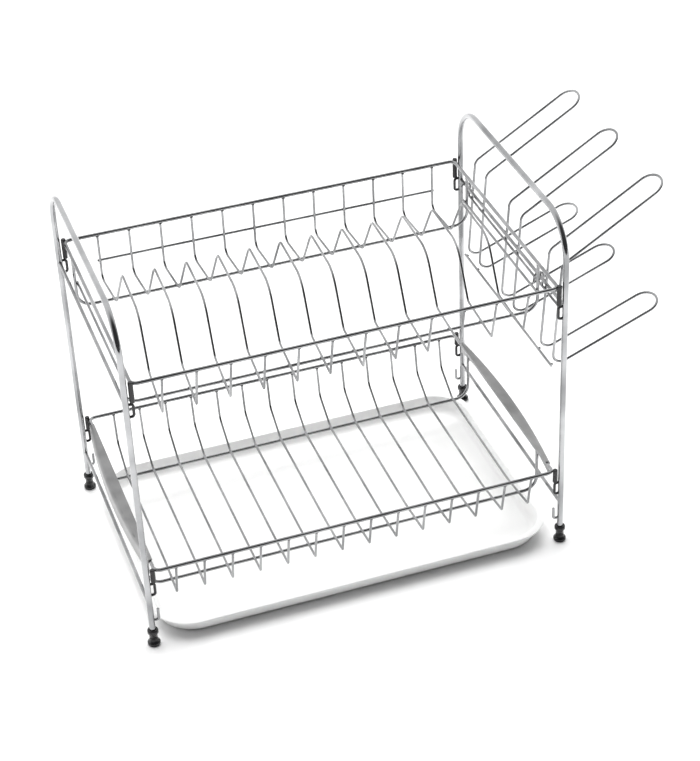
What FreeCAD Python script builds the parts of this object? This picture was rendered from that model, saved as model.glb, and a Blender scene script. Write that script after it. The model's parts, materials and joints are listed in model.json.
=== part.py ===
"""Two-tier dish drying rack: two arched end frames, a lower bowl rack, an upper plate rack,
a cup holder hung outside the right end frame, and a drip tray that slides out to the front.

Millimetres, +Z up, +X to the right, +Y to the back. The model is built from the corner where
the front left leg stands (x = 0, y = 0), and moved at the end so that the origin is on the
floor, under the middle of the whole object's box.
"""
import FreeCAD, Part
import math
import os
from FreeCAD import Vector

# End frames: an arch of round bar, with two cross bars between its legs
frame_width = 400.0
frame_depth = 249.0
arch_height = 347.0
arch_bar_d = 5.6
arch_corner_r = 40.0
cross_bar_d = 3.4
upper_cross_z = 263.5
lower_cross_z = 44.0

# Feet: turned spools that the legs are pressed into
foot_base_d = 12.0
foot_base_h = 3.6
foot_waist_d = 7.8
foot_collar_d = 10.2
foot_collar_h = 4.0
foot_height = 17.0
foot_floor = 5.0
foot_edge = 0.7

# Lugs on the legs that the racks stand on, and the small hooks just above the feet
lug_d = 2.6
lug_height = 12.5
lug_reach = 3.6
lower_lug_drop = 12.0
upper_lug_drop = 18.5
leg_hook_z = 27.0
leg_hook_rise = 12.0
leg_hook_reach = 7.0

# Wires shared by both racks
rim_d = 3.4
rim_corner_r = 6.0
plate_wire_d = 2.3
floor_rail_d = 3.0
weld_bite = 0.35
pad_d = 4.6
pad_above_rim = 2.6
pad_edge = 0.8
pad_inset = 6.0

# Lower rack
lower_rim_z = 82.0
lower_side_inset = 8.0
lower_wire_count = 14
lower_first_x = 32.2
lower_last_inset = 25.5
lower_heel_inset = 5.5
lower_heel_z = 50.0
lower_heel_r = 10.0
lower_toe_inset = 36.0
lower_toe_z = 31.5
lower_toe_r = 12.0
lower_sag_y = 67.0
lower_sag_z = 31.5
lower_sag_r = 60.0
lower_tip_y = 8.0
lower_tip_z = 46.3
lower_tip_r = 3.0
lower_wire_skew = -4.5
lower_back_rail_inset = 36.0
lower_front_rail_y = 38.0
rail_end_r = 14.0

# Channel strips over the lower rack's side rails
strip_t = 1.2
strip_drop = 15.5
strip_end_y = 14.0
strip_bulge = 7.0
strip_bend_r = 3.0

# Upper rack
upper_rim_z = 284.5
upper_side_inset = 6.7
upper_wire_count = 12
upper_first_x = 38.0
upper_last_inset = 30.0
guard_rail_z = 255.5
guard_rail_d = 2.4
side_rail_z = 257.0
side_rail_d = 2.6
trough_z = 236.0
trough_back_bend_r = 8.0
hump_back_inset = 42.0
hump_foot_z = 234.5
hump_top_back_inset = 58.0
hump_top_back_z = 272.5
hump_top_front_y = 118.0
hump_top_front_z = 276.5
hump_front_y = 85.0
hump_front_foot_z = 233.0
hump_foot_r = 6.0
hump_top_r = 9.0
hump_shoulder_r = 30.0
hump_lean_back = 8.0
hump_lean_front = 4.5
hump_foot_lean = 3.0
hump_front_foot_lean = 2.0
upper_tip_y = 12.0
upper_tip_z = 241.0
upper_tip_r = 3.0
upper_wire_skew = -4.9
upper_back_rail_inset = 33.0
upper_front_rail_y = 45.0

# Cup holder: three wire loops on two bars, hung over the right upper cross bar by two hooks
loop_d = 2.5
holder_bar_d = 2.6
holder_hook_d = 2.4
holder_clear = 2.4
hang_gap = 0.3
loop_width = 28.0
loop_front_margin = 38.5
loop_back_margin = 33.5
loop_middle_shift = 4.0
loop_top_z = 291.0
loop_bottom_z = 183.0
loop_bottom_tuck = 8.0
loop_bend_r = 9.0
prong_reach = 99.2
lower_prong_longer = 9.5
upper_prong_deg = 31.0
lower_prong_deg = 21.5
holder_upper_z = 252.0
holder_lower_z = 187.0
holder_hook_tail = 5.0
holder_hook_past = 18.5

# Drip tray
tray_foot_gap = 1.2
tray_front_over = 5.6
tray_back_over = 3.0
tray_height = 15.6
tray_t = 1.8
tray_corner_r = 37.0
tray_lip = 5.0
tray_lip_t = 1.8
tray_draft = 4.0

# Sizes worked out from the ones above
arch_r = arch_bar_d / 2
rim_r = rim_d / 2
wire_r = plate_wire_d / 2
rail_r = floor_rail_d / 2
lug_r = lug_d / 2
cross_r = cross_bar_d / 2
holder_bar_x = frame_width + cross_r + holder_clear + holder_bar_d / 2
loop_x = holder_bar_x + holder_bar_d / 2 + loop_d / 2 - weld_bite
lower_prong_past = lower_prong_longer - loop_bottom_tuck
right_edge = loop_x + prong_reach + max(lower_prong_past, 0) + loop_d / 2
left_edge = -foot_base_d / 2
front_edge = -max(foot_base_d / 2, tray_front_over)
back_edge = frame_depth + max(foot_base_d / 2, tray_back_over)
origin = Vector((left_edge + right_edge) / 2, (front_edge + back_edge) / 2, 0)


def rounded_path(points, radii, closed=False):
    """Straight runs through the points, joined by tangent arcs of the given radii."""
    count = len(points)
    if not isinstance(radii, (list, tuple)):
        radii = [radii] * (count if closed else count - 2)
    corners = range(count) if closed else range(1, count - 1)
    arcs = []
    for radius, i in zip(radii, corners):
        here = points[i]
        to_last = (points[i - 1] - here).normalize()
        to_next = (points[(i + 1) % count] - here).normalize()
        half = to_last.getAngle(to_next) / 2
        trim = radius / math.tan(half)
        middle = (to_last + to_next).normalize() * (radius / math.sin(half) - radius)
        arcs.append((here + to_last * trim, here + middle, here + to_next * trim))
    edges = []
    ends = [] if closed else [points[0]]
    last = arcs[-1][2] if closed else ends[0]
    for start, middle, end in arcs:
        if (start - last).Length > 1e-6:
            edges.append(Part.LineSegment(last, start).toShape())
        edges.append(Part.Arc(start, middle, end).toShape())
        last = end
    if not closed:
        edges.append(Part.LineSegment(last, points[-1]).toShape())
    return Part.Wire(edges)


def straight_bar(start, end, diameter):
    return Part.makeCylinder(diameter / 2, (end - start).Length, start, end - start)


def swept_bar(path, diameter):
    """Round bar along a path, with its section square to the path's first edge."""
    first = path.Edges[0]
    start = first.valueAt(first.FirstParameter)
    along = first.tangentAt(first.FirstParameter)
    section = Part.Wire([Part.makeCircle(diameter / 2, start, along)])
    return path.makePipeShell([section], True, False)


def bent_bar(points, radii, diameter, closed=False):
    return swept_bar(rounded_path(points, radii, closed), diameter)


def at(x, y, z):
    return Vector(x, y, z)


def toward(start, end, distance):
    """The point at a distance from start on the way to end."""
    return start + (end - start).normalize() * distance


def mirrored_x(shape):
    return shape.mirror(at(frame_width / 2, 0, 0), at(1, 0, 0))


def mirrored_y(shape):
    return shape.mirror(at(0, frame_depth / 2, 0), at(0, 1, 0))


def at_four_corners(shape):
    pair = [shape, mirrored_x(shape)]
    return Part.makeCompound(pair + [mirrored_y(one) for one in pair])


def arch_frame(x):
    points = [at(x, 0, foot_floor), at(x, 0, arch_height)]
    points += [at(x, frame_depth, arch_height), at(x, frame_depth, foot_floor)]
    return bent_bar(points, arch_corner_r, arch_bar_d)


def cross_bar(x, z):
    into_leg = arch_r - 2 * weld_bite
    return straight_bar(at(x, into_leg, z), at(x, frame_depth - into_leg, z), cross_bar_d)


def foot(x, y):
    base_r = foot_base_d / 2
    waist_r = foot_waist_d / 2
    collar_r = foot_collar_d / 2
    collar_z = foot_height - foot_collar_h
    slope = base_r - waist_r
    outline = [(0, 0), (base_r - foot_edge, 0), (base_r, foot_edge)]
    outline += [(base_r, foot_base_h - foot_edge), (base_r - foot_edge, foot_base_h)]
    outline += [(waist_r, foot_base_h + slope / 2), (waist_r, collar_z - foot_edge)]
    outline += [(collar_r, collar_z + foot_edge), (collar_r, foot_height - foot_edge)]
    outline += [(collar_r - foot_edge, foot_height), (arch_r, foot_height)]
    outline += [(arch_r, foot_floor), (0, foot_floor)]
    corners = [at(r, 0, z) for r, z in outline]
    face = Part.Face(Part.makePolygon(corners + corners[:1]))
    spool = face.revolve(at(0, 0, 0), at(0, 0, 1), 360)
    return spool.translated(at(x, y, 0))


def leg_lug(rim_z, drop):
    """A small bow of wire on the inner side of the front left leg."""
    inside = arch_r - weld_bite
    outside = arch_r + lug_reach
    top = rim_z - drop - lug_r
    bottom = top - lug_height
    points = [at(inside, 0, top), at(outside, 0, top)]
    points += [at(outside, 0, bottom), at(inside, 0, bottom)]
    return bent_bar(points, lug_reach - lug_r, lug_d)


def leg_hook():
    """A small upturned hook near the foot of the front left leg."""
    points = [at(arch_r - weld_bite, 0, leg_hook_z), at(leg_hook_reach, 0, leg_hook_z)]
    points += [at(leg_hook_reach, 0, leg_hook_z + leg_hook_rise)]
    return bent_bar(points, lug_d, lug_d)


def corner_pad(rim_z, drop, gap):
    """A plastic stub on a rim's front left corner, standing on the lug below it."""
    foot_z = rim_z - drop + gap
    height = rim_z + pad_above_rim - foot_z
    pad = Part.makeCylinder(pad_d / 2, height, at(pad_inset, 0, foot_z))
    ends = [edge for edge in pad.Edges if edge.isClosed()]
    return pad.makeFillet(pad_edge, ends)


def rim(rim_z, side_inset):
    right = frame_width - side_inset
    points = [at(side_inset, 0, rim_z), at(right, 0, rim_z)]
    points += [at(right, frame_depth, rim_z), at(side_inset, frame_depth, rim_z)]
    return bent_bar(points, rim_corner_r, rim_d, closed=True)


def floor_rail(y, z, rim_z, side_inset):
    """A wide U across the rack that hangs from the rim's two side rails."""
    top = rim_z - rim_r + weld_bite * 2
    right = frame_width - side_inset
    points = [at(side_inset, y, top), at(side_inset, y, z), at(right, y, z), at(right, y, top)]
    return bent_bar(points, rail_end_r, floor_rail_d)


def wire_places(first_x, last_inset, count):
    pitch = (frame_width - last_inset - first_x) / (count - 1)
    return [first_x + pitch * i for i in range(count)]


def lower_wire_line(x):
    front_x = x + lower_wire_skew
    back = at(x, frame_depth, lower_rim_z)
    heel = at(x, frame_depth - lower_heel_inset, lower_heel_z)
    toe = at(x, frame_depth - lower_toe_inset, lower_toe_z)
    sag = at(x, lower_sag_y, lower_sag_z)
    tip = at(front_x, lower_tip_y, lower_tip_z)
    front = at(front_x, 0, lower_rim_z)
    points = [toward(back, heel, rim_r / 2), heel, toe, sag]
    return points + [tip, toward(front, tip, rim_r / 2)]


def lower_wire(x):
    radii = [lower_heel_r, lower_toe_r, lower_sag_r, lower_tip_r]
    return bent_bar(lower_wire_line(x), radii, plate_wire_d)


def height_on(line, y):
    """Height of a rack wire's straight runs at a distance from the front."""
    for a, b in zip(line, line[1:]):
        if min(a.y, b.y) <= y <= max(a.y, b.y) and a.y != b.y:
            height = a.z + (b.z - a.z) * (y - a.y) / (b.y - a.y)
    return height


def rail_under(line, y):
    """Height of a floor rail that is welded under the wires."""
    return height_on(line, y) - wire_r - rail_r + weld_bite


def upper_wire_line(x):
    front_x = x + upper_wire_skew
    back = at(x, frame_depth, upper_rim_z)
    heel = at(x, frame_depth, trough_z)
    front = at(front_x, 0, upper_rim_z)
    tip = at(front_x, upper_tip_y, upper_tip_z)
    points = [toward(back, heel, rim_r / 2), heel]
    points += [at(x + hump_foot_lean, frame_depth - hump_back_inset, hump_foot_z)]
    points += [at(x + hump_lean_back, frame_depth - hump_top_back_inset, hump_top_back_z)]
    points += [at(x + hump_lean_front, hump_top_front_y, hump_top_front_z)]
    points += [at(x + hump_front_foot_lean, hump_front_y, hump_front_foot_z)]
    points += [tip, toward(front, tip, rim_r / 2)]
    return points


def upper_wire(x):
    radii = [trough_back_bend_r, hump_foot_r, hump_top_r, hump_shoulder_r]
    radii += [hump_foot_r, upper_tip_r]
    return bent_bar(upper_wire_line(x), radii, plate_wire_d)


def bowed_wall(inset, z, height):
    """The left strip's outline, or that outline drawn in from its bowed side, as a solid."""
    inner = lower_side_inset + rim_r
    side = lower_side_inset - rim_r - strip_t + inset
    start = at(side, strip_end_y, z)
    end = at(side, frame_depth - strip_end_y, z)
    middle = at(side - strip_bulge, frame_depth / 2, z)
    corners = [end, at(inner, end.y, z), at(inner, start.y, z), start]
    outline = [Part.Arc(start, middle, end).toShape()] + Part.makePolygon(corners).Edges
    return Part.Face(Part.Wire(outline)).extrude(at(0, 0, height))


def end_strip():
    """Left channel strip: a bowed flange over the side rail and a skirt turned down outside it."""
    top = lower_rim_z + rim_r + strip_t
    low = top - strip_drop
    strip = bowed_wall(0, low, strip_drop)
    outside = [e for e in strip.Edges if e.Curve.TypeId == "Part::GeomCircle"]
    strip = strip.makeFillet(strip_bend_r, [e for e in outside if e.CenterOfMass.z > top - strip_t])
    hollow = bowed_wall(strip_t, low, strip_drop - strip_t)
    inside = [e for e in hollow.Edges if e.Curve.TypeId == "Part::GeomCircle"]
    inside = [e for e in inside if e.CenterOfMass.z > low + strip_t]
    return strip.cut(hollow.makeFillet(strip_bend_r - strip_t, inside))


def guard_rail():
    """The second rail behind the upper rack's wires, from the first wire to the last."""
    places = wire_places(upper_first_x, upper_last_inset, upper_wire_count)
    y = frame_depth + wire_r + guard_rail_d / 2 - weld_bite
    past = plate_wire_d
    start = at(places[0] - past, y, guard_rail_z)
    return straight_bar(start, at(places[-1] + past, y, guard_rail_z), guard_rail_d)


def side_rail():
    """The second rail at the left end of the upper rack, inside the floor rails' upturned ends."""
    x = upper_side_inset + rail_r + side_rail_d / 2 - weld_bite
    past = floor_rail_d
    start = at(x, upper_front_rail_y - past, side_rail_z)
    end = at(x, frame_depth - upper_back_rail_inset + past, side_rail_z)
    return straight_bar(start, end, side_rail_d)


def loop_places():
    front = loop_front_margin
    back = frame_depth - loop_back_margin
    return [front, (front + back) / 2 + loop_middle_shift, back]


def prong_tip(root, reach, degrees):
    return root + at(reach, 0, reach * math.tan(math.radians(degrees)))


def cup_loop(y):
    """One closed loop: a long upper prong, two uprights and a lower prong."""
    half = loop_width / 2
    near_top = at(loop_x, y - half, loop_top_z)
    near_bottom = at(loop_x - loop_bottom_tuck, y - half, loop_bottom_z)
    upper_tip = prong_tip(near_top, prong_reach, upper_prong_deg)
    lower_tip = prong_tip(near_bottom, prong_reach + lower_prong_longer, lower_prong_deg)
    near = [upper_tip, near_top, near_bottom, lower_tip]
    far = [point + at(0, loop_width, 0) for point in reversed(near)]
    tip_r = half - 0.5
    radii = [tip_r, loop_bend_r, loop_bend_r, tip_r]
    return bent_bar(near + far, radii + radii, loop_d, closed=True)


def bar_x_at(z):
    """The holder bars follow the loops, which lean in towards their lower bends."""
    lean = loop_bottom_tuck * (loop_top_z - z) / (loop_top_z - loop_bottom_z)
    return holder_bar_x - lean


def holder_bar(z, back_reach):
    places = loop_places()
    x = bar_x_at(z)
    start = at(x, places[0] - loop_width / 2 - loop_d, z)
    return straight_bar(start, at(x, places[-1] + back_reach, z), holder_bar_d)


def holder_hook(y):
    """Up from the upper bar, over the frame's cross bar and down on its inner side."""
    reach = cross_r + holder_clear + holder_hook_d / 2
    over = upper_cross_z + hang_gap - holder_clear
    outer = frame_width + reach
    inner = frame_width - reach
    root = at(bar_x_at(holder_upper_z), y, holder_upper_z)
    top = over + reach
    tail = at(inner, y, over - holder_hook_tail)
    corner_r = reach - 0.05
    return bent_bar([root, at(outer, y, top), at(inner, y, top), tail], corner_r, holder_hook_d)


def rounded_plate(inset, z, height):
    """A plate with the tray's outline, drawn in by the inset."""
    side = foot_collar_d / 2 + tray_foot_gap
    x0 = side + inset
    x1 = frame_width - side - inset
    y0 = inset - tray_front_over
    y1 = frame_depth + tray_back_over - inset
    corners = [at(x0, y0, z), at(x1, y0, z), at(x1, y1, z), at(x0, y1, z)]
    outline = rounded_path(corners, tray_corner_r - inset, closed=True)
    return outline if height == 0 else Part.Face(outline).extrude(at(0, 0, height))


def drip_tray():
    under_lip = tray_height - tray_lip_t
    wall = tray_lip - tray_t
    outside = [rounded_plate(wall + tray_draft, 0, 0), rounded_plate(wall, under_lip, 0)]
    shell = Part.makeLoft(outside, True, True)
    lip = rounded_plate(0, under_lip, tray_lip_t)
    hollow = [rounded_plate(tray_lip + tray_draft, tray_t, 0)]
    hollow += [rounded_plate(tray_lip, tray_height, 0)]
    return shell.fuse(lip).cut(Part.makeLoft(hollow, True, True)).removeSplitter()


def end_frame_parts():
    parts = {}
    for side, x in (("left", 0), ("right", frame_width)):
        parts[f"{side}_arch_frame"] = arch_frame(x)
        parts[f"{side}_upper_cross_bar"] = cross_bar(x, upper_cross_z)
        parts[f"{side}_lower_cross_bar"] = cross_bar(x, lower_cross_z)
        parts[f"front_{side}_foot"] = foot(x, 0)
        parts[f"back_{side}_foot"] = foot(x, frame_depth)
    parts["lower_rack_lugs"] = at_four_corners(leg_lug(lower_rim_z, lower_lug_drop))
    parts["upper_rack_lugs"] = at_four_corners(leg_lug(upper_rim_z, upper_lug_drop))
    parts["leg_hooks"] = at_four_corners(leg_hook())
    return parts


def lower_rack_parts():
    line = lower_wire_line(0)
    back_y = frame_depth - lower_back_rail_inset
    front_y = lower_front_rail_y
    parts = {"lower_rim": rim(lower_rim_z, lower_side_inset)}
    for name, y in (("lower_back_floor_rail", back_y), ("lower_front_floor_rail", front_y)):
        parts[name] = floor_rail(y, rail_under(line, y), lower_rim_z, lower_side_inset)
    parts["lower_left_end_strip"] = end_strip()
    parts["lower_right_end_strip"] = mirrored_x(end_strip())
    parts["lower_corner_pads"] = at_four_corners(corner_pad(lower_rim_z, lower_lug_drop, 0))
    places = wire_places(lower_first_x, lower_last_inset, lower_wire_count)
    for number, x in enumerate(places, 1):
        parts[f"lower_wire_{number:02d}"] = lower_wire(x)
    return parts


def upper_rack_parts():
    line = upper_wire_line(0)
    back_y = frame_depth - upper_back_rail_inset
    front_y = upper_front_rail_y
    parts = {"upper_rim": rim(upper_rim_z, upper_side_inset)}
    for name, y in (("upper_back_floor_rail", back_y), ("upper_front_floor_rail", front_y)):
        parts[name] = floor_rail(y, rail_under(line, y), upper_rim_z, upper_side_inset)
    parts["upper_back_guard_rail"] = guard_rail()
    parts["upper_left_side_rail"] = side_rail()
    parts["upper_right_side_rail"] = mirrored_x(side_rail())
    pad = corner_pad(upper_rim_z, upper_lug_drop, hang_gap)
    parts["upper_corner_pads"] = at_four_corners(pad)
    places = wire_places(upper_first_x, upper_last_inset, upper_wire_count)
    for number, x in enumerate(places, 1):
        parts[f"upper_wire_{number:02d}"] = upper_wire(x)
    return parts


def cup_holder_parts():
    places = loop_places()
    parts = {f"cup_loop_{name}": cup_loop(y) for name, y in zip(("front", "middle", "back"), places)}
    parts["holder_upper_bar"] = holder_bar(holder_upper_z, holder_hook_past + holder_hook_d)
    parts["holder_lower_bar"] = holder_bar(holder_lower_z, loop_width / 2 + loop_d)
    hook_places = [places[0] + holder_hook_past, places[-1] + holder_hook_past]
    parts["holder_hooks"] = Part.makeCompound([holder_hook(y) for y in hook_places])
    return parts


def all_parts():
    parts = end_frame_parts()
    parts.update(lower_rack_parts())
    parts.update(upper_rack_parts())
    parts.update(cup_holder_parts())
    parts["drip_tray"] = drip_tray()
    return {name: shape.translated(-origin) for name, shape in parts.items()}


os.makedirs("parts", exist_ok=True)
for name, shape in all_parts().items():
    shape.exportStep(f"parts/{name}.step")
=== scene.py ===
import json
import math
import bpy
import bmesh
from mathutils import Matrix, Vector


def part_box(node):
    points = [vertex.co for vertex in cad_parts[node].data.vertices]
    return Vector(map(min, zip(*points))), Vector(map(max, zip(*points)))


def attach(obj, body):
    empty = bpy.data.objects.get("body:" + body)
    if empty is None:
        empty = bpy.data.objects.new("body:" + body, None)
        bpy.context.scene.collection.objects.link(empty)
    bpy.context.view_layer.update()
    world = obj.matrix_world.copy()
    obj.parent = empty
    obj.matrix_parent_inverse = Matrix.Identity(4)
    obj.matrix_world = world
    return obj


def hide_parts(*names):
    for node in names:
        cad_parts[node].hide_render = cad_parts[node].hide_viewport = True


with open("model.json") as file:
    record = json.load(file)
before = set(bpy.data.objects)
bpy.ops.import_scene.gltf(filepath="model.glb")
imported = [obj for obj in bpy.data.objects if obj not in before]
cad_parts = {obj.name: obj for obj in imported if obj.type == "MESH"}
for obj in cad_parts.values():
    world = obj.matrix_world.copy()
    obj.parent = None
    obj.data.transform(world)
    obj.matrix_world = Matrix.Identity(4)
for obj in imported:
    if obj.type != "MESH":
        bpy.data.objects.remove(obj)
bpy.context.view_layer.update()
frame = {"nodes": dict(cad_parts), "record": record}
nodes = frame["nodes"]
print("frame loaded:", len(nodes), "nodes")


# small helpers

def deselectAll():
    if bpy.context.object and bpy.context.object.mode != "OBJECT":
        bpy.ops.object.mode_set(mode="OBJECT")
    bpy.ops.object.select_all(action="DESELECT")


def makeActive(obj):
    deselectAll()
    obj.select_set(True)
    bpy.context.view_layer.objects.active = obj


def nameActive(name):
    obj = bpy.context.object
    obj.name = name
    obj.data.name = name
    return obj


def pickEdges(test):
    mesh = bmesh.from_edit_mesh(bpy.context.object.data)
    bpy.ops.mesh.select_all(action="DESELECT")
    for edge in mesh.edges:
        a, b = edge.verts
        if test(a.co, b.co):
            edge.select_set(True)
    mesh.select_flush_mode()
    bmesh.update_edit_mesh(bpy.context.object.data)


def extrudeRing(rise, grow, centre):
    bpy.ops.mesh.extrude_region_move(TRANSFORM_OT_translate={"value": (0, 0, rise)})
    bpy.ops.transform.resize(value=(grow[0], grow[1], 1), center_override=centre)


def applyModifiers(obj):
    makeActive(obj)
    for modifier in list(obj.modifiers):
        bpy.ops.object.modifier_apply(modifier=modifier.name)


def settle(obj):
    makeActive(obj)
    bpy.ops.object.transform_apply(location=True, rotation=True, scale=True)


def faceOut(obj):
    makeActive(obj)
    bpy.ops.object.mode_set(mode="EDIT")
    bpy.ops.mesh.select_all(action="SELECT")
    bpy.ops.mesh.remove_doubles(threshold=0.000005)
    bpy.ops.mesh.normals_make_consistent(inside=False)
    bpy.ops.object.mode_set(mode="OBJECT")


def copyTo(obj, places):
    copies = []
    for place in places:
        makeActive(obj)
        bpy.ops.object.duplicate()
        one = bpy.context.object
        one.location = place
        copies.append(one)
    return copies


def joinAs(objs, name):
    deselectAll()
    for obj in objs:
        obj.select_set(True)
    bpy.context.view_layer.objects.active = objs[0]
    bpy.ops.object.join()
    return nameActive(name)


def removeObject(obj):
    bpy.data.objects.remove(obj, do_unlink=True)


def smooth(obj, degrees):
    makeActive(obj)
    bpy.ops.object.shade_smooth_by_angle(angle=math.radians(degrees))


def giveMaterial(obj, material):
    obj.data.materials.clear()
    obj.data.materials.append(material)


def turned(name, rings, sides):
    firstZ, firstR = rings[0]
    deselectAll()
    bpy.ops.mesh.primitive_circle_add(vertices=sides, radius=firstR, fill_type="NGON")
    obj = nameActive(name)
    bpy.ops.object.mode_set(mode="EDIT")
    bpy.ops.mesh.select_all(action="SELECT")
    bpy.ops.transform.translate(value=(0, 0, firstZ))
    z, r = firstZ, firstR
    for nextZ, nextR in rings[1:]:
        extrudeRing(nextZ - z, (nextR / r, nextR / r), (0, 0, 0))
        z, r = nextZ, nextR
    bpy.ops.object.mode_set(mode="OBJECT")
    faceOut(obj)
    return obj


# finishes

def newMaterial(name):
    material = bpy.data.materials.new(name)
    material.use_nodes = True
    tree = material.node_tree
    return material, tree, tree.nodes["Principled BSDF"]


def addNoise(tree, scale, detail, stretch=(1, 1, 1)):
    coords = tree.nodes.new("ShaderNodeTexCoord")
    mapping = tree.nodes.new("ShaderNodeMapping")
    mapping.inputs["Scale"].default_value = stretch
    noise = tree.nodes.new("ShaderNodeTexNoise")
    noise.inputs["Scale"].default_value = scale
    noise.inputs["Detail"].default_value = detail
    tree.links.new(coords.outputs["Object"], mapping.inputs["Vector"])
    tree.links.new(mapping.outputs["Vector"], noise.inputs["Vector"])
    return noise.outputs["Fac"]


def spread(tree, value, low, high):
    scaled = tree.nodes.new("ShaderNodeMapRange")
    scaled.inputs["From Min"].default_value = 0.3
    scaled.inputs["From Max"].default_value = 0.7
    scaled.inputs["To Min"].default_value = low
    scaled.inputs["To Max"].default_value = high
    tree.links.new(value, scaled.inputs["Value"])
    return scaled.outputs["Result"]


def blendColours(tree, value, dark, light):
    ramp = tree.nodes.new("ShaderNodeValToRGB")
    ramp.color_ramp.elements[0].position = 0.32
    ramp.color_ramp.elements[0].color = (*dark, 1)
    ramp.color_ramp.elements[1].position = 0.68
    ramp.color_ramp.elements[1].color = (*light, 1)
    tree.links.new(value, ramp.inputs["Fac"])
    return ramp.outputs["Color"]


def addBump(tree, shader, value, strength, distance):
    bump = tree.nodes.new("ShaderNodeBump")
    bump.inputs["Strength"].default_value = strength
    bump.inputs["Distance"].default_value = distance
    tree.links.new(value, bump.inputs["Height"])
    tree.links.new(bump.outputs["Normal"], shader.inputs["Normal"])


def platedMetal(name, look):
    material, tree, shader = newMaterial(name)
    shader.inputs["Metallic"].default_value = 1
    patches = addNoise(tree, look["patchScale"], 4)
    tree.links.new(blendColours(tree, patches, look["dark"], look["light"]), shader.inputs["Base Color"])
    smears = addNoise(tree, look["smearScale"], 3, look["smearStretch"])
    tree.links.new(spread(tree, smears, look["sharp"], look["dull"]), shader.inputs["Roughness"])
    grain = addNoise(tree, look["grainScale"], 5, look["grainStretch"])
    addBump(tree, shader, grain, look["grainStrength"], look["grainDepth"])
    return material


frameChrome = {
    "dark": (0.28, 0.284, 0.29), "light": (0.54, 0.545, 0.555), "patchScale": 22,
    "sharp": 0.07, "dull": 0.2, "smearScale": 30, "smearStretch": (1, 1, 0.2),
    "grainScale": 900, "grainStretch": (1, 1, 0.3), "grainStrength": 0.25, "grainDepth": 0.00004,
}
wireChrome = {
    "dark": (0.22, 0.223, 0.228), "light": (0.44, 0.444, 0.45), "patchScale": 26,
    "sharp": 0.1, "dull": 0.26, "smearScale": 34, "smearStretch": (1, 0.25, 1),
    "grainScale": 1100, "grainStretch": (1, 0.3, 1), "grainStrength": 0.3, "grainDepth": 0.00004,
}
stripSteel = {
    "dark": (0.24, 0.24, 0.241), "light": (0.44, 0.44, 0.441), "patchScale": 18,
    "sharp": 0.28, "dull": 0.44, "smearScale": 40, "smearStretch": (1, 0.05, 1),
    "grainScale": 700, "grainStretch": (1, 0.02, 1), "grainStrength": 0.5, "grainDepth": 0.00008,
}
weldMetal = {
    "dark": (0.1, 0.1, 0.105), "light": (0.26, 0.26, 0.265), "patchScale": 500,
    "sharp": 0.22, "dull": 0.45, "smearScale": 600, "smearStretch": (1, 1, 1),
    "grainScale": 1500, "grainStretch": (1, 1, 1), "grainStrength": 0.6, "grainDepth": 0.0001,
}
blackPlasticLook = {
    "dark": (0.012, 0.012, 0.013), "light": (0.028, 0.028, 0.03), "rough": (0.16, 0.3),
    "patchScale": 120, "grainScale": 1800, "grainStrength": 0.35, "grainDepth": 0.0001,
}
# near-black lugs: the colour is painted shade and a painted dark reflection of the chrome hooks at the
# leg joints
lugPaintedShadeLook = {
    "dark": (0.014, 0.014, 0.015), "light": (0.035, 0.035, 0.038), "rough": (0.22, 0.36),
    "patchScale": 160, "grainScale": 500, "grainStrength": 0.3, "grainDepth": 0.0002,
}
trayLook = {
    "dark": (0.93, 0.932, 0.925), "light": (0.965, 0.967, 0.96), "rough": (0.3, 0.38),
    "patchScale": 14, "grainScale": 2400, "grainStrength": 0.12, "grainDepth": 0.00005,
    "coat": 0.15, "coatRough": 0.12, "glow": 0.25, "glowReach": 0.02,
}


def mouldedPlastic(name, look):
    material, tree, shader = newMaterial(name)
    patches = addNoise(tree, look["patchScale"], 3)
    tree.links.new(blendColours(tree, patches, look["dark"], look["light"]), shader.inputs["Base Color"])
    tree.links.new(spread(tree, patches, *look["rough"]), shader.inputs["Roughness"])
    grain = addNoise(tree, look["grainScale"], 4)
    addBump(tree, shader, grain, look["grainStrength"], look["grainDepth"])
    if "coat" in look:
        shader.inputs["Coat Weight"].default_value = look["coat"]
        shader.inputs["Coat Roughness"].default_value = look["coatRough"]
        shader.inputs["Subsurface Weight"].default_value = look["glow"]
        shader.inputs["Subsurface Radius"].default_value = (look["glowReach"],) * 3
        shader.inputs["Subsurface Scale"].default_value = 1
    return material


finishes = {
    "chrome_frame": platedMetal("frameChrome", frameChrome),
    "chrome_wire": platedMetal("wireChrome", wireChrome),
    "steel_strip": platedMetal("stripSteel", stripSteel),
    "black_plastic": mouldedPlastic("blackPlastic", blackPlasticLook),
    # lug finish: near-black painted shade and dark reflection
    "dark_lug": mouldedPlastic("lugPaintedShade", lugPaintedShadeLook),
    "white_tray": mouldedPlastic("trayPlastic", trayLook),
}
weldFinish = platedMetal("weldMetal", weldMetal)

for row in frame["record"]["subparts"]:
    giveMaterial(nodes[row["node"]], finishes[row["material_slot"]])
print("finishes given to the frame's nodes")


# drip tray

trayShape = {
    "cornerRadius": 0.037, "cornerSteps": 12, "lipWidth": 0.005, "lipThick": 0.0018,
    "wall": 0.0018, "draft": 0.004, "floorThick": 0.0018,
    "insideBend": 0.0045, "insideSteps": 5, "outsideBend": 0.003, "outsideSteps": 4,
    "edgeRound": 0.0005, "edgeSteps": 3, "edgeAngle": 50,
}


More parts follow.
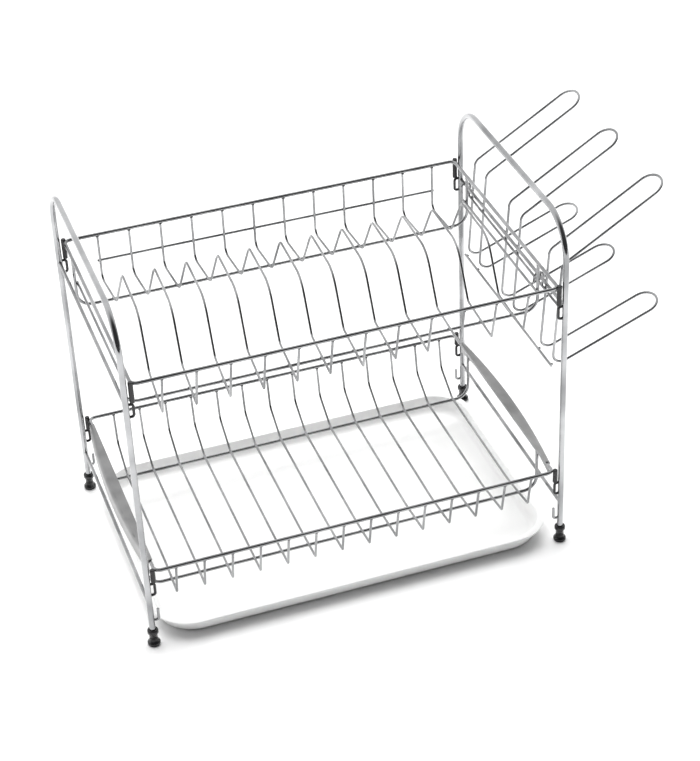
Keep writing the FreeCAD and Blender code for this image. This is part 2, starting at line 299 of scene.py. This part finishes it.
def makeTray(shape):
    low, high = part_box("drip_tray")
    width, depth = high.x - low.x, high.y - low.y
    centre = ((low.x + high.x) / 2, (low.y + high.y) / 2, low.z)
    under = high.z - low.z - shape["lipThick"]
    outside = shape["lipWidth"] - shape["wall"]
    deselectAll()
    bpy.ops.mesh.primitive_plane_add(size=1, location=centre)
    tray = nameActive("dripTray")
    settle(tray)
    bpy.ops.object.mode_set(mode="EDIT")
    bpy.ops.mesh.select_all(action="SELECT")
    bpy.ops.transform.resize(value=(width, depth, 1), center_override=centre)
    bpy.ops.mesh.bevel(offset=shape["cornerRadius"], segments=shape["cornerSteps"], affect="VERTICES")
    bpy.ops.mesh.select_all(action="SELECT")

    # share of the full width and depth that an inset leaves
    def fit(inset):
        return (width - 2 * inset) / width, (depth - 2 * inset) / depth

    def step(before, after):
        return fit(after)[0] / fit(before)[0], fit(after)[1] / fit(before)[1]

    # up the outside, out under the lip, over it and down to the floor
    foot = outside + shape["draft"]
    bpy.ops.transform.resize(value=(*fit(foot), 1), center_override=centre)
    extrudeRing(under, step(foot, outside), centre)
    extrudeRing(0, step(outside, 0), centre)
    extrudeRing(shape["lipThick"], (1, 1), centre)
    extrudeRing(0, step(0, shape["lipWidth"]), centre)
    inner = shape["lipWidth"] + shape["draft"]
    floorZ = low.z + shape["floorThick"]
    extrudeRing(floorZ - high.z, step(shape["lipWidth"], inner), centre)

    def ringAt(z):
        near = 0.00002
        return lambda a, b: abs(a.z - z) < near and abs(b.z - z) < near

    pickEdges(ringAt(floorZ))
    bpy.ops.mesh.bevel(offset=shape["insideBend"], segments=shape["insideSteps"], affect="EDGES")
    pickEdges(ringAt(low.z))
    bpy.ops.mesh.bevel(offset=shape["outsideBend"], segments=shape["outsideSteps"], affect="EDGES")
    bpy.ops.object.mode_set(mode="OBJECT")
    faceOut(tray)
    bevel = tray.modifiers.new("edgeRound", "BEVEL")
    bevel.width = shape["edgeRound"]
    bevel.segments = shape["edgeSteps"]
    bevel.limit_method = "ANGLE"
    bevel.angle_limit = math.radians(shape["edgeAngle"])
    applyModifiers(tray)
    smooth(tray, 40)
    giveMaterial(tray, finishes["white_tray"])
    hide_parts("drip_tray")
    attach(tray, "tray")


makeTray(trayShape)
print("drip tray made")


# feet

footShape = {
    "sides": 48, "baseR": 0.00599, "waistR": 0.0038, "collarR": 0.0051, "height": 0.017,
    "grooveDeep": 0.0004,
}


def makeFeet(shape):
    base, waist, collar, top = shape["baseR"], shape["waistR"], shape["collarR"], shape["height"]
    deep = shape["grooveDeep"]
    # height and radius from the flat base, over the waist's groove, to the leg's socket
    rings = [(0.0, base - 0.0012), (0.0003, base - 0.0004), (0.0009, base)]
    rings += [(0.0024, base), (0.0032, base - 0.0003), (0.0037, base - 0.001)]
    rings += [(0.0046, waist + 0.0007), (0.0058, waist + 0.0001), (0.0072, waist)]
    rings += [(0.0076, waist - deep), (0.0082, waist - deep), (0.0086, waist)]
    rings += [(0.0112, waist), (0.0121, waist + 0.0003), (0.0127, collar - 0.0004)]
    rings += [(0.0133, collar), (0.0158, collar), (0.0166, collar - 0.0003)]
    rings += [(top, collar - 0.0009), (top, 0.0031), (top - 0.0006, 0.00285)]
    foot = turned("footMaster", rings, shape["sides"])
    smooth(foot, 50)
    giveMaterial(foot, finishes["black_plastic"])
    for side in ("left", "right"):
        for end in ("front", "back"):
            node = f"{end}_{side}_foot"
            low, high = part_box(node)
            one = copyTo(foot, [((low.x + high.x) / 2, (low.y + high.y) / 2, low.z)])[0]
            makeActive(one)
            nameActive(f"{end}{side.capitalize()}Foot")
            settle(one)
            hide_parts(node)
            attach(one, "frame")
    removeObject(foot)


makeFeet(footShape)
print("feet made")


# welds where the wires cross

weldShape = {"wide": 0.0017, "tall": 0.0011, "rows": 6, "sides": 10, "lastRing": 80}
weldPlace = {
    "wireR": 0.00115, "loopR": 0.00125, "railR": 0.0015, "overRail": 0.0028,
    "intoRim": 0.0003, "dividerLean": 0.0024, "intoBar": 0.0001,
}
# skew: how far a wire's front end stands to the left of its back end
# frontShare: how much of that is reached at the front floor rail
rackFacts = {
    "lower": {"count": 14, "skew": 0.0045, "body": "frame", "frontShare": 0.49},
    "upper": {"count": 12, "skew": 0.0049, "body": "upper_rack", "frontShare": 0.45},
}


def makeBead(shape):
    half = shape["rows"] // 2
    rings = []
    for i in range(-half, half + 1):
        turn = math.radians(shape["lastRing"]) * i / half
        rings.append((shape["tall"] * math.sin(turn), shape["wide"] * math.cos(turn)))
    bead = turned("beadMaster", rings, shape["sides"])
    smooth(bead, 60)
    giveMaterial(bead, weldFinish)
    return bead


def railTop(node):
    low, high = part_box(node)
    return (low.y + high.y) / 2, low.z + weldPlace["overRail"]


def makeRackWelds(rack, facts, bead):
    rimLow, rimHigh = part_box(f"{rack}_rim")
    rimR = (rimHigh.z - rimLow.z) / 2
    rimZ = rimLow.z + rimR
    underRim = rimZ - rimR
    backY = rimHigh.y - rimR - weldPlace["intoRim"]
    frontY = rimLow.y + rimR + weldPlace["intoRim"]
    backRail, backZ = railTop(f"{rack}_back_floor_rail")
    frontRail, frontZ = railTop(f"{rack}_front_floor_rail")
    places = []
    for number in range(1, facts["count"] + 1):
        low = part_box(f"{rack}_wire_{number:02d}")[0]
        frontX = low.x + weldPlace["wireR"]
        backX = frontX + facts["skew"]
        places += [(backX, backY, underRim), (frontX, frontY, underRim)]
        places.append((backX - facts["skew"] * facts["frontShare"], frontRail, frontZ))
        if rack == "lower":
            places.append((backX, backRail, backZ))
        else:
            places.append((backX + weldPlace["dividerLean"], backRail, backZ))
            guardLow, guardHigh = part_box("upper_back_guard_rail")
            places.append((backX, guardLow.y, (guardLow.z + guardHigh.z) / 2))
    for end in ("back", "front"):
        railLow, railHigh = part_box(f"{rack}_{end}_floor_rail")
        y = (railLow.y + railHigh.y) / 2
        for x in (railLow.x + weldPlace["railR"], railHigh.x - weldPlace["railR"]):
            places.append((x, y, underRim))
    welds = joinAs(copyTo(bead, places), f"{rack}RackWelds")
    settle(welds)
    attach(welds, facts["body"])


bead = makeBead(weldShape)
for rack, facts in rackFacts.items():
    makeRackWelds(rack, facts, bead)


def makeHolderWelds(bead):
    places = []
    for node in ("holder_upper_bar", "holder_lower_bar"):
        low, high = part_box(node)
        z = (low.z + high.z) / 2
        for name in ("front", "middle", "back"):
            loopLow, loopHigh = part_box(f"cup_loop_{name}")
            for y in (loopLow.y + weldPlace["loopR"], loopHigh.y - weldPlace["loopR"]):
                places.append((high.x - weldPlace["intoBar"], y, z))
    welds = joinAs(copyTo(bead, places), "cupHolderWelds")
    settle(welds)
    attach(welds, "cup_holder")


makeHolderWelds(bead)
removeObject(bead)
print("welds made")


# floor, light and camera

studio = {
    "floorSize": 14, "floorColour": (0.9, 0.9, 0.9), "floorShade": 0.985, "floorRough": 0.7,
    "floorGloss": 0.2, "backSky": (1.15, 1.15, 1.15), "frontSky": (0.06, 0.06, 0.062),
    "skyTurn": (-0.45, 0.35), "worldStrength": 1,
    "sunStrength": 3.6, "sunSpread": 55, "sunTurn": (26, 0, 172),
}


def makeFloor(look):
    deselectAll()
    bpy.ops.mesh.primitive_plane_add(size=look["floorSize"], location=(0, 0, 0))
    floor = nameActive("studioFloor")
    material, tree, shader = newMaterial("paleFloor")
    cloudy = addNoise(tree, 1.5, 2)
    light = look["floorColour"]
    dark = tuple(part * look["floorShade"] for part in light)
    tree.links.new(blendColours(tree, cloudy, dark, light), shader.inputs["Base Color"])
    shader.inputs["Roughness"].default_value = look["floorRough"]
    shader.inputs["Specular IOR Level"].default_value = look["floorGloss"]
    giveMaterial(floor, material)


# a bright sky behind the rack and a dark one in front, for the chrome to mirror
def makeWorld(look):
    world = bpy.data.worlds.new("studioWorld")
    bpy.context.scene.world = world
    world.use_nodes = True
    tree = world.node_tree
    coords = tree.nodes.new("ShaderNodeTexCoord")
    apart = tree.nodes.new("ShaderNodeSeparateXYZ")
    share = tree.nodes.new("ShaderNodeMapRange")
    share.interpolation_type = "SMOOTHSTEP"
    share.inputs["From Min"].default_value = look["skyTurn"][0]
    share.inputs["From Max"].default_value = look["skyTurn"][1]
    ramp = tree.nodes.new("ShaderNodeValToRGB")
    ramp.color_ramp.elements[0].color = (*look["frontSky"], 1)
    ramp.color_ramp.elements[1].color = (*look["backSky"], 1)
    tree.links.new(coords.outputs["Generated"], apart.inputs["Vector"])
    tree.links.new(apart.outputs["Y"], share.inputs["Value"])
    tree.links.new(share.outputs["Result"], ramp.inputs["Fac"])
    sky = tree.nodes["Background"]
    sky.inputs["Strength"].default_value = look["worldStrength"]
    tree.links.new(ramp.outputs["Color"], sky.inputs["Color"])


def makeSun(look):
    deselectAll()
    turn = [math.radians(part) for part in look["sunTurn"]]
    bpy.ops.object.light_add(type="SUN", location=(0, 0, 2), rotation=turn)
    light = nameActive("backSun")
    light.data.energy = look["sunStrength"]
    light.data.angle = math.radians(look["sunSpread"])
    light.visible_glossy = False  # the chrome mirrors the sky and floor, not this light


cameraView = {
    "fromLeg": (-0.2579, -1.4223, 1.2773), "turn": (55.134, 2.155, -19.259),
    "lens": 108.1, "sensor": 36,
}


def makeCamera(view):
    low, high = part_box("left_arch_frame")
    barR = (high.x - low.x) / 2
    leg = Vector(((low.x + high.x) / 2, low.y + barR, 0))
    turn = [math.radians(part) for part in view["turn"]]
    bpy.ops.object.camera_add(location=leg + Vector(view["fromLeg"]), rotation=turn)
    camera = nameActive("pictureCamera")
    camera.data.lens = view["lens"]
    camera.data.sensor_fit = "HORIZONTAL"
    camera.data.sensor_width = view["sensor"]
    bpy.context.scene.camera = camera


makeFloor(studio)
makeWorld(studio)
makeSun(studio)
makeCamera(cameraView)
bpy.context.scene.view_settings.view_transform = "Standard"
print("studio and camera set")

bpy.context.view_layer.update()
